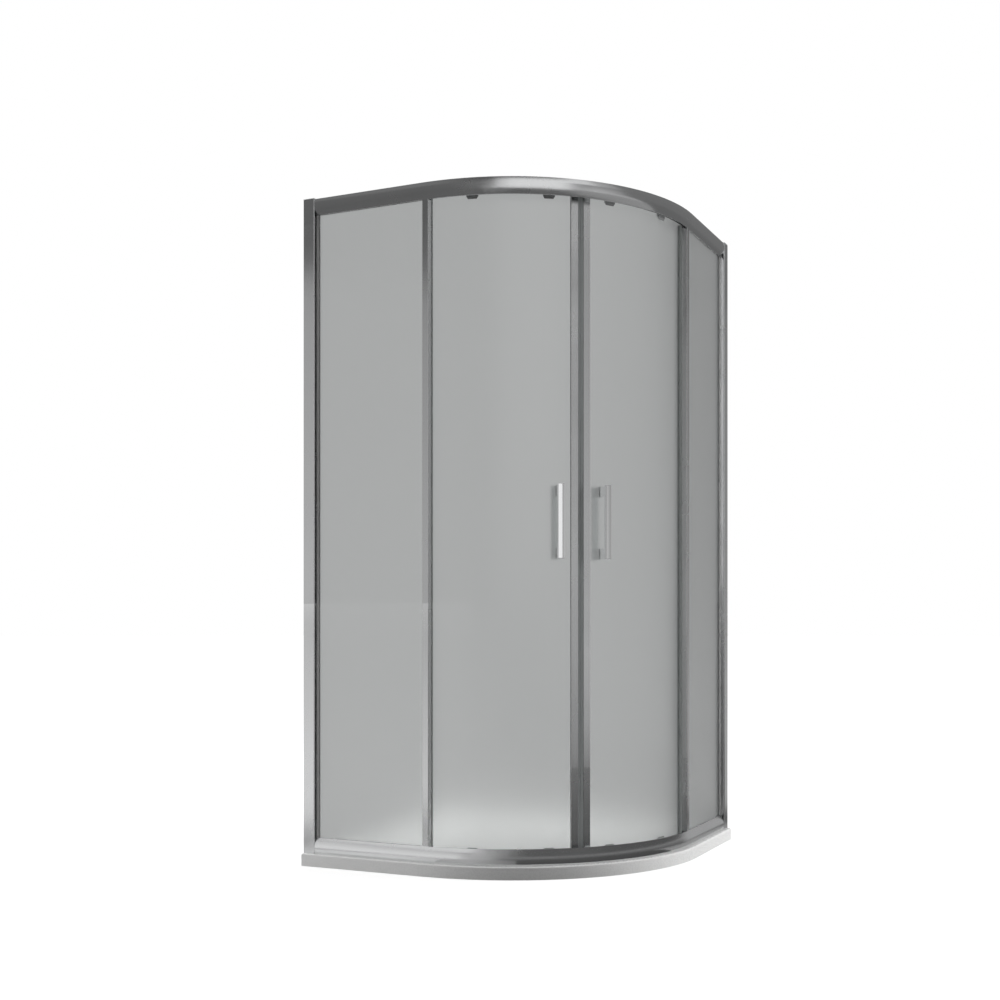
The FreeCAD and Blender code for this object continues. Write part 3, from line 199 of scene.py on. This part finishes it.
def bare_material(name):
    """A material with only its output: returns its tree and the output's surface socket too."""
    material = bpy.data.materials.new(name)
    material.use_nodes = True
    material.node_tree.nodes.clear()
    output = material.node_tree.nodes.new("ShaderNodeOutputMaterial")
    return material, material.node_tree, output.inputs["Surface"]


def new_finish(name):
    """A material with only its shader and output: returns its tree and shader too."""
    material, tree, surface = bare_material(name)
    shader = tree.nodes.new("ShaderNodeBsdfPrincipled")
    tree.links.new(shader.outputs["BSDF"], surface)
    return material, tree, shader


def grain(tree, scale, stretch=NO_LINES, detail=3.0):
    """Noise on the piece's own metres, stretched per axis: returns its value socket."""
    place = tree.nodes.new("ShaderNodeTexCoord")
    mapping = tree.nodes.new("ShaderNodeMapping")
    mapping.inputs["Scale"].default_value = stretch
    noise = tree.nodes.new("ShaderNodeTexNoise")
    noise.inputs["Scale"].default_value = scale
    noise.inputs["Detail"].default_value = detail
    tree.links.new(place.outputs["Object"], mapping.inputs["Vector"])
    tree.links.new(mapping.outputs["Vector"], noise.inputs["Vector"])
    return noise.outputs["Fac"]


def spread(tree, value, low, high):
    """The part of a noise that carries its pattern, laid over low to high."""
    node = tree.nodes.new("ShaderNodeMapRange")
    node.inputs["From Min"].default_value = NOISE_LOW
    node.inputs["From Max"].default_value = NOISE_HIGH
    node.inputs["To Min"].default_value = low
    node.inputs["To Max"].default_value = high
    tree.links.new(value, node.inputs["Value"])
    return node.outputs["Result"]


def tint(tree, value, base, depth):
    """The colour, up to depth darker where the value is low."""
    node = tree.nodes.new("ShaderNodeMix")
    node.data_type = "RGBA"
    node.inputs["A"].default_value = (*[c * (1 - depth) for c in base], 1)
    node.inputs["B"].default_value = (*base, 1)
    tree.links.new(spread(tree, value, 0, 1), node.inputs["Factor"])
    return node.outputs["Result"]


def bump(tree, shader, value, strength, distance):
    """Relief of that many metres from the value."""
    node = tree.nodes.new("ShaderNodeBump")
    node.inputs["Strength"].default_value = strength
    node.inputs["Distance"].default_value = distance
    tree.links.new(value, node.inputs["Height"])
    tree.links.new(node.outputs["Normal"], shader.inputs["Normal"])


def around(value, shares):
    """The value times each share."""
    return [value * part for part in shares]


def drawn_metal(name, base, roughness, stretch, depth=0.025):
    """Extruded or drawn metal: fine lines along one direction and faint clouding."""
    material, tree, shader = new_finish(name)
    shader.inputs["Metallic"].default_value = 1
    lines = grain(tree, METAL_SCALE, stretch, detail=4)
    clouds = grain(tree, METAL_CLOUDS)
    tree.links.new(tint(tree, lines, base, depth), shader.inputs["Base Color"])
    tree.links.new(spread(tree, clouds, *around(roughness, METAL_BLUR)), shader.inputs["Roughness"])
    bump(tree, shader, lines, *METAL_RELIEF)
    return material


def frosted_glass(name, base, roughness):
    """Sandblasted glass: blurred see-through with a fine grain."""
    material, tree, shader = new_finish(name)
    shader.inputs["Transmission Weight"].default_value = 1
    shader.inputs["IOR"].default_value = GLASS_IOR
    clouds = grain(tree, FROST_CLOUDS, detail=2)
    fine = grain(tree, FROST_SCALE, detail=2)
    tree.links.new(tint(tree, clouds, base, FROST_DEPTH), shader.inputs["Base Color"])
    tree.links.new(spread(tree, clouds, *around(roughness, FROST_BLUR)), shader.inputs["Roughness"])
    bump(tree, shader, fine, *FROST_RELIEF)
    return material


def cast_resin(name, base):
    """Gel-coated tray: near-white, softly glossy, with a faint orange peel."""
    material, tree, shader = new_finish(name)
    clouds = grain(tree, RESIN_CLOUDS, detail=4)
    peel = grain(tree, RESIN_SCALE, detail=2)
    tree.links.new(tint(tree, clouds, base, RESIN_DEPTH), shader.inputs["Base Color"])
    tree.links.new(spread(tree, peel, *RESIN_ROUGHNESS), shader.inputs["Roughness"])
    shader.inputs["Coat Weight"].default_value = COAT_WEIGHT
    shader.inputs["Coat Roughness"].default_value = COAT_ROUGHNESS
    bump(tree, shader, peel, *RESIN_RELIEF)
    return material


def moulded(name, base, roughness, depth=0.08, clear=0.0):
    """Moulded plastic or rubber, clear by the given share."""
    material, tree, shader = new_finish(name)
    fine = grain(tree, PLASTIC_SCALE, detail=3)
    tree.links.new(tint(tree, fine, base, depth), shader.inputs["Base Color"])
    tree.links.new(spread(tree, fine, *around(roughness, PLASTIC_BLUR)), shader.inputs["Roughness"])
    shader.inputs["Transmission Weight"].default_value = clear
    bump(tree, shader, fine, *PLASTIC_RELIEF)
    return material


def dress(node, material):
    """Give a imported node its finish."""
    slots = NODES[node].data.materials
    slots.clear()
    slots.append(material)


def dress_both(names, material):
    """Give the left and the right node of each name its finish."""
    for side in SIDES:
        for name in names:
            dress(f"{side}_{name}", material)


# ---- operators ----------------------------------------------------------------------------

class ENCLOSURE_OT_metalwork(bpy.types.Operator):
    """Finish the rails, profiles, posts and caps"""
    bl_idname = "enclosure.metalwork"
    bl_label = "Metalwork"

    def execute(self, context):
        finish = context.scene.enclosure_finish
        base, rough = tuple(finish.metal), finish.metal_roughness
        bent = drawn_metal("rail_aluminium", base, rough, RAIL_LINES)
        upright = drawn_metal("profile_aluminium", base, rough, UPRIGHT_LINES)
        for rail in ("top_rail", "bottom_rail"):
            dress(rail, bent)
        dress_both(("wall_profile", "adjuster_profile", "front_profile"), upright)
        # painted shade: the posts get a darkened copy of the same aluminium as the rails and profiles
        painted_shade_metal = [channel * POST_PAINTED_SHADE for channel in base]
        post = drawn_metal("post_aluminium_painted_shade", painted_shade_metal, rough, UPRIGHT_LINES)
        dress_both(("fixed_post",), post)
        cap = moulded("cap_plastic", tuple(finish.cap), roughness=0.35)
        dress_both(("profile_cap",), cap)
        dress("screw_caps", cap)
        return {"FINISHED"}


class ENCLOSURE_OT_panes(bpy.types.Operator):
    """Finish the frosted panes"""
    bl_idname = "enclosure.panes"
    bl_label = "Panes"

    def execute(self, context):
        finish = context.scene.enclosure_finish
        frost = frosted_glass("frosted_glass", tuple(finish.glass), finish.glass_roughness)
        dress_both(("fixed_glass", "door_glass"), frost)
        return {"FINISHED"}


class ENCLOSURE_OT_strips(bpy.types.Operator):
    """Finish the gaskets, seals, blocks and stops"""
    bl_idname = "enclosure.strips"
    bl_label = "Strips"

    def execute(self, context):
        finish = context.scene.enclosure_finish
        vinyl = moulded("gasket_vinyl", tuple(finish.gasket), roughness=0.5)
        dress_both(("glazing_gasket",), vinyl)
        rubber = moulded("block_rubber", tuple(finish.rubber), roughness=0.55)
        dress("door_stops", rubber)
        dress("setting_blocks", rubber)
        magnet = moulded("magnet_strip", tuple(finish.magnet), roughness=0.4)
        dress_both(("magnet_seal",), magnet)
        strip = moulded("clear_strip", tuple(finish.seal), roughness=0.3, clear=0.35)
        dress_both(("rear_seal",), strip)
        return {"FINISHED"}


def new_piece(name, mesh, material):
    """Object from a bmesh, with its material."""
    data = bpy.data.meshes.new(name)
    mesh.to_mesh(data)
    mesh.free()
    piece = bpy.data.objects.new(name, data)
    bpy.context.scene.collection.objects.link(piece)
    data.materials.append(material)
    return piece


def block(low, high, rounding):
    """Box between two corners with rounded edges."""
    mesh = bmesh.new()
    bmesh.ops.create_cube(mesh, size=1)
    bmesh.ops.scale(mesh, vec=high - low, verts=mesh.verts)
    bmesh.ops.translate(mesh, vec=(low + high) / 2, verts=mesh.verts)
    bmesh.ops.bevel(mesh, geom=mesh.edges, offset=rounding, affect="EDGES", segments=3, profile=0.5,
                    material=-1)
    return mesh


class ENCLOSURE_OT_end_pads(bpy.types.Operator):
    """Add the soft pads that close the rails at the fixed posts' ends"""
    bl_idname = "enclosure.end_pads"
    bl_label = "End pads"

    def execute(self, context):
        foam = moulded("pad_foam", tuple(context.scene.enclosure_finish.rubber), roughness=0.7)
        for side in SIDES:
            node = f"{side}_fixed_post"
            low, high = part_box(node)
            # each pad is as wide as the post, less a gap, and lies at its inner face
            if side == "left":
                near, far = Vector((low.x, high.y - PAD_DEPTH, 0)), Vector((high.x, high.y, 0))
            else:
                near, far = Vector((low.x, low.y, 0)), Vector((low.x + PAD_DEPTH, high.y, 0))
            for end, foot in (("top", high.z + PAD_GAP), ("bottom", low.z - PAD_GAP - PAD_HEIGHT)):
                mesh = block(near + Vector((PAD_GAP, PAD_GAP, foot)),
                             far + Vector((-PAD_GAP, -PAD_GAP, foot + PAD_HEIGHT)), PAD_ROUND)
                pad = new_piece(f"{side}_{end}_end_pad", mesh, foam)
                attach(pad, NODES[node]["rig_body"])
        return {"FINISHED"}


class ENCLOSURE_OT_rollers(bpy.types.Operator):
    """Finish the brackets, clamps, axles, screws and wheels"""
    bl_idname = "enclosure.rollers"
    bl_label = "Rollers"

    def execute(self, context):
        finish = context.scene.enclosure_finish
        plate = moulded("bracket_coat", tuple(finish.bracket), roughness=0.35, depth=0.05)
        steel = drawn_metal("screw_steel", tuple(finish.steel), roughness=0.3, stretch=NO_LINES)
        nylon = moulded("wheel_nylon", tuple(finish.nylon), roughness=0.4, depth=0.04)
        dress_both([f"{place}_bracket" for place in PLACES] + ["bracket_clamps"], plate)
        dress_both(("roller_axles", "bracket_screws"), steel)
        dress("rail_screws", steel)
        dress("adjuster_screws", steel)
        dress_both([f"{place}_wheel" for place in PLACES], nylon)
        return {"FINISHED"}


class ENCLOSURE_OT_handles(bpy.types.Operator):
    """Finish the handles and their studs and washers"""
    bl_idname = "enclosure.handles"
    bl_label = "Handles"

    def execute(self, context):
        finish = context.scene.enclosure_finish
        chrome = drawn_metal("handle_chrome", tuple(finish.chrome), finish.chrome_roughness,
                             HANDLE_LINES, depth=0.03)
        dress_both(("outer_handle", "inner_handle"), chrome)
        washer = moulded("washer_nylon", tuple(finish.nylon), roughness=0.4, clear=0.5)
        dress_both(("handle_washers",), washer)
        stud = drawn_metal("stud_steel", tuple(finish.steel), roughness=0.3, stretch=NO_LINES)
        dress_both(("handle_studs",), stud)
        return {"FINISHED"}


class ENCLOSURE_OT_tray(bpy.types.Operator):
    """Finish the tray and its waste cover"""
    bl_idname = "enclosure.tray"
    bl_label = "Tray"

    def execute(self, context):
        finish = context.scene.enclosure_finish
        dress("shower_tray", cast_resin("tray_resin", tuple(finish.tray)))
        dress("drain_cover", drawn_metal("cover_chrome", tuple(finish.chrome), finish.chrome_roughness,
                                         NO_LINES, depth=0.03))
        return {"FINISHED"}


def heading(degrees):
    """Unit vector over the floor, from +X towards +Y."""
    angle = math.radians(degrees)
    return Vector((math.cos(angle), math.sin(angle), 0))


def seen_by(tree, *kinds):
    """1 for the named kinds of ray, such as Is Camera Ray, and 0 for others."""
    path = tree.nodes.new("ShaderNodeLightPath")
    seen = path.outputs[kinds[0]]
    for kind in kinds[1:]:
        either = tree.nodes.new("ShaderNodeMath")
        either.operation = "MAXIMUM"
        tree.links.new(seen, either.inputs[0])
        tree.links.new(path.outputs[kind], either.inputs[1])
        seen = either.outputs["Value"]
    return seen


def grey_ramp(tree, value, stops):
    """Grey by the value: stops are (value, grey)."""
    node = tree.nodes.new("ShaderNodeValToRGB")
    marks = node.color_ramp.elements
    while len(marks) < len(stops):
        marks.new(0.5)
    for mark, (place, grey) in zip(marks, stops):
        mark.position = place
        mark.color = (grey, grey, grey, 1)
    tree.links.new(value, node.inputs["Fac"])
    return node.outputs["Color"]


def product(tree, *values):
    """The values multiplied together."""
    result = values[0]
    for value in values[1:]:
        node = tree.nodes.new("ShaderNodeMath")
        node.operation = "MULTIPLY"
        tree.links.new(result, node.inputs[0])
        tree.links.new(value, node.inputs[1])
        result = node.outputs["Value"]
    return result


def heading_ramp(tree, place, stops):
    """Grey by the heading from the object's middle: stops are (degrees from +X towards +Y, grey)."""
    sweep = tree.nodes.new("ShaderNodeTexGradient")
    sweep.gradient_type = "RADIAL"
    tree.links.new(place, sweep.inputs["Vector"])
    return grey_ramp(tree, sweep.outputs["Fac"], [(turn / 360 + 0.5, grey) for turn, grey in stops])


def studio_light(tree, by_heading, by_height, through_glass):
    """Emission of the studio: by heading and height in metal, and one grey through glass."""
    place = tree.nodes.new("ShaderNodeTexCoord").outputs["Object"]
    split = tree.nodes.new("ShaderNodeSeparateXYZ")
    tree.links.new(place, split.inputs["Vector"])
    rise = tree.nodes.new("ShaderNodeMapRange")
    rise.inputs["From Max"].default_value = SURROUND_RADIUS
    tree.links.new(split.outputs["Z"], rise.inputs["Value"])
    level = product(tree, heading_ramp(tree, place, by_heading),
                    grey_ramp(tree, rise.outputs["Result"], by_height))
    pick = tree.nodes.new("ShaderNodeMix")
    pick.inputs["B"].default_value = through_glass
    tree.links.new(seen_by(tree, "Is Transmission Ray"), pick.inputs["Factor"])
    tree.links.new(level, pick.inputs["A"])
    shader = tree.nodes.new("ShaderNodeEmission")
    tree.links.new(pick.outputs["Result"], shader.inputs["Strength"])
    return shader.outputs["Emission"]


def stage_piece(name, mesh, material):
    """Object of the stage from a bmesh."""
    piece = new_piece(name, mesh, material)
    return piece


def only_in_gloss(piece):
    """Show the piece in metal and glass alone."""
    piece.visible_camera = False
    piece.visible_diffuse = False
    piece.visible_shadow = False


def raise_surround(through_glass):
    """Grey dome that metal and glass show."""
    mesh = bmesh.new()
    bmesh.ops.create_uvsphere(mesh, u_segments=SURROUND_SEGMENTS, v_segments=SURROUND_RINGS,
                              radius=SURROUND_RADIUS)
    bmesh.ops.bisect_plane(mesh, geom=[*mesh.verts, *mesh.edges, *mesh.faces],
                           plane_co=(0, 0, SURROUND_FOOT), plane_no=(0, 0, 1), clear_inner=True)
    material, tree, surface = bare_material("surround_light")
    tree.links.new(studio_light(tree, SURROUND_BY_HEADING, SURROUND_BY_HEIGHT, through_glass), surface)
    only_in_gloss(stage_piece("surround", mesh, material))


def swept(ends, start, end, middle=MIDDLE):
    """A line between two points turned round the middle from one heading to another."""
    mesh = bmesh.new()
    edge = [mesh.verts.new(place) for place in ends]
    line = mesh.edges.new(edge)
    bmesh.ops.spin(mesh, geom=[*edge, line], cent=(*middle, 0), axis=(0, 0, 1),
                   angle=math.radians(end - start), steps=SWEEP_STEPS)
    return mesh


def hang_card(start, end, low, high, radius, foot, head, through_glass):
    """Upright curved card between two headings and two heights."""
    base = heading(start) * radius
    mesh = swept([base + Vector((0, 0, z)) for z in (low, high)], start, end)
    material, tree, surface = bare_material("card_light")
    by_height = [(low / SURROUND_RADIUS, foot), (high / SURROUND_RADIUS, head)]
    tree.links.new(studio_light(tree, [(-180, 1), (180, 1)], by_height, through_glass), surface)
    only_in_gloss(stage_piece("card", mesh, material))


def lay_shelf(middle, start, end, inner, outer, rise, first, last, from_above, through_glass):
    """Level card between two headings, seen in metal from above or from below."""
    foot = Vector((*middle, rise))
    mesh = swept([foot + heading(start) * reach for reach in (inner, outer)], start, end, middle)
    for face in mesh.faces:
        face.normal_update()
        if (face.normal.z > 0) != from_above:
            face.normal_flip()
    material, tree, surface = bare_material("shelf_light")
    light = studio_light(tree, [(start, first), (end, last)], [(0, 1), (1, 1)], through_glass)
    side = tree.nodes.new("ShaderNodeNewGeometry")
    clear = tree.nodes.new("ShaderNodeBsdfTransparent")
    mix = tree.nodes.new("ShaderNodeMixShader")
    tree.links.new(side.outputs["Backfacing"], mix.inputs["Fac"])
    tree.links.new(light, mix.inputs[1])
    tree.links.new(clear.outputs["BSDF"], mix.inputs[2])
    tree.links.new(mix.outputs["Shader"], surface)
    only_in_gloss(stage_piece("shelf", mesh, material))


def lamp(name, power, size, place, target):
    """Square soft lamp aimed at a point."""
    data = bpy.data.lights.new(name, "AREA")
    data.energy = power
    data.size = size
    thing = bpy.data.objects.new(name, data)
    bpy.context.scene.collection.objects.link(thing)
    thing.location = place
    thing.rotation_euler = (target - place).to_track_quat("-Z", "Y").to_euler()
    thing.visible_glossy = False
    thing.visible_transmission = False


def lay_floor(through_glass):
    """White floor that keeps the object's shadow, grey in metal and glass."""
    mesh = bmesh.new()
    bmesh.ops.create_circle(mesh, cap_ends=True, segments=FLOOR_SEGMENTS, radius=FLOOR_RADIUS)
    bmesh.ops.translate(mesh, verts=mesh.verts, vec=(0, 0, -FLOOR_DROP))
    material, tree, surface = bare_material("floor_white")
    shader = tree.nodes.new("ShaderNodeBsdfPrincipled")
    base = tint(tree, grain(tree, FLOOR_CLOUDS), [FLOOR_GREY] * 3, FLOOR_DEPTH)
    tree.links.new(base, shader.inputs["Base Color"])
    shader.inputs["Roughness"].default_value = FLOOR_ROUGHNESS
    shader.inputs["Specular IOR Level"].default_value = 0
    shader.inputs["Emission Color"].default_value = (1, 1, 1, 1)
    place = tree.nodes.new("ShaderNodeTexCoord")
    reach = tree.nodes.new("ShaderNodeVectorMath")
    reach.operation = "LENGTH"
    tree.links.new(place.outputs["Object"], reach.inputs[0])
    fade = tree.nodes.new("ShaderNodeMapRange")
    for socket, number in FLOOR_FADE:
        fade.inputs[socket].default_value = number
    tree.links.new(reach.outputs["Value"], fade.inputs["Value"])
    white = product(tree, seen_by(tree, "Is Camera Ray"), fade.outputs["Result"])
    tree.links.new(white, shader.inputs["Emission Strength"])
    mix = tree.nodes.new("ShaderNodeMixShader")
    tree.links.new(seen_by(tree, "Is Glossy Ray", "Is Transmission Ray"), mix.inputs["Fac"])
    tree.links.new(shader.outputs["BSDF"], mix.inputs[1])
    tree.links.new(studio_light(tree, FLOOR_BY_HEADING, [(0, 1), (1, 1)], through_glass), mix.inputs[2])
    tree.links.new(mix.outputs["Shader"], surface)
    stage_piece("floor", mesh, material)


def set_world(fill):
    """White to camera, metal and glass; the fill level to everything else."""
    world = bpy.data.worlds.new("studio")
    bpy.context.scene.world = world
    world.use_nodes = True
    tree = world.node_tree
    tree.nodes.clear()
    output = tree.nodes.new("ShaderNodeOutputWorld")
    light = tree.nodes.new("ShaderNodeBackground")
    light.inputs["Strength"].default_value = fill
    white = tree.nodes.new("ShaderNodeBackground")
    for node in (light, white):
        node.inputs["Color"].default_value = (1, 1, 1, 1)
    mix = tree.nodes.new("ShaderNodeMixShader")
    seen = seen_by(tree, "Is Camera Ray", "Is Glossy Ray", "Is Transmission Ray")
    tree.links.new(seen, mix.inputs["Fac"])
    tree.links.new(light.outputs["Background"], mix.inputs[1])
    tree.links.new(white.outputs["Background"], mix.inputs[2])
    tree.links.new(mix.outputs["Shader"], output.inputs["Surface"])


class ENCLOSURE_OT_stage(bpy.types.Operator):
    """Set the floor, cards, lamps, world and camera"""
    bl_idname = "enclosure.stage"
    bl_label = "Stage"

    def execute(self, context):
        stage = context.scene.enclosure_stage
        behind = stage.behind_glass
        lay_floor(behind)
        raise_surround(behind)
        for card in CARDS:
            hang_card(*card, behind)
        for shelf in SHELVES:
            lay_shelf(*shelf, behind)
        set_world(stage.fill)
        target = Vector(LAMP_TARGET)
        for name, power, turn in (("right_lamp", stage.right_lamp, RIGHT_LAMP_HEADING),
                                  ("left_lamp", stage.left_lamp, LEFT_LAMP_HEADING)):
            place = heading(turn) * SIDE_LAMP_REACH + Vector((0, 0, SIDE_LAMP_RISE))
            lamp(name, power, SIDE_LAMP_SIZE, place, target)
        lamp("top_lamp", stage.top_lamp, TOP_LAMP_SIZE, Vector(TOP_LAMP_PLACE), target)
        camera = bpy.data.cameras.new("camera")
        camera.lens = stage.lens
        camera.sensor_width = SENSOR_WIDTH
        camera.shift_y = stage.lens_rise
        eye = bpy.data.objects.new("camera", camera)
        context.scene.collection.objects.link(eye)
        eye.location = stage.camera_place
        eye.rotation_euler = (math.pi / 2, 0, stage.camera_turn)
        context.scene.camera = eye
        context.scene.view_settings.view_transform = "Standard"
        return {"FINISHED"}


# ---- add-on -------------------------------------------------------------------------------

OPERATORS = (ENCLOSURE_OT_metalwork, ENCLOSURE_OT_panes, ENCLOSURE_OT_strips, ENCLOSURE_OT_end_pads,
             ENCLOSURE_OT_rollers, ENCLOSURE_OT_handles, ENCLOSURE_OT_tray, ENCLOSURE_OT_stage)


class ENCLOSURE_PT_panel(bpy.types.Panel):
    """Lists the enclosure's settings and pieces"""
    bl_label = "Enclosure"
    bl_idname = "ENCLOSURE_PT_panel"
    bl_space_type = "VIEW_3D"
    bl_region_type = "UI"
    bl_category = "Enclosure"

    def draw(self, context):
        for group in (context.scene.enclosure_finish, context.scene.enclosure_stage):
            for name in group.bl_rna.properties.keys():
                if name not in ("rna_type", "name"):
                    self.layout.prop(group, name)
        for operator in OPERATORS:
            self.layout.operator(operator.bl_idname)


CLASSES = (EnclosureFinish, EnclosureStage, *OPERATORS, ENCLOSURE_PT_panel)


def register():
    """Make the classes and the scene's settings known."""
    for each in CLASSES:
        bpy.utils.register_class(each)
    bpy.types.Scene.enclosure_finish = PointerProperty(type=EnclosureFinish)
    bpy.types.Scene.enclosure_stage = PointerProperty(type=EnclosureStage)


def unregister():
    """Forget them again."""
    del bpy.types.Scene.enclosure_stage
    del bpy.types.Scene.enclosure_finish
    for each in reversed(CLASSES):
        bpy.utils.unregister_class(each)


def main():
    """Finish and furnish the whole enclosure."""
    register()
    for operator in OPERATORS:
        family, name = operator.bl_idname.split(".")
        getattr(getattr(bpy.ops, family), name)()


if __name__ == "__main__":
    main()
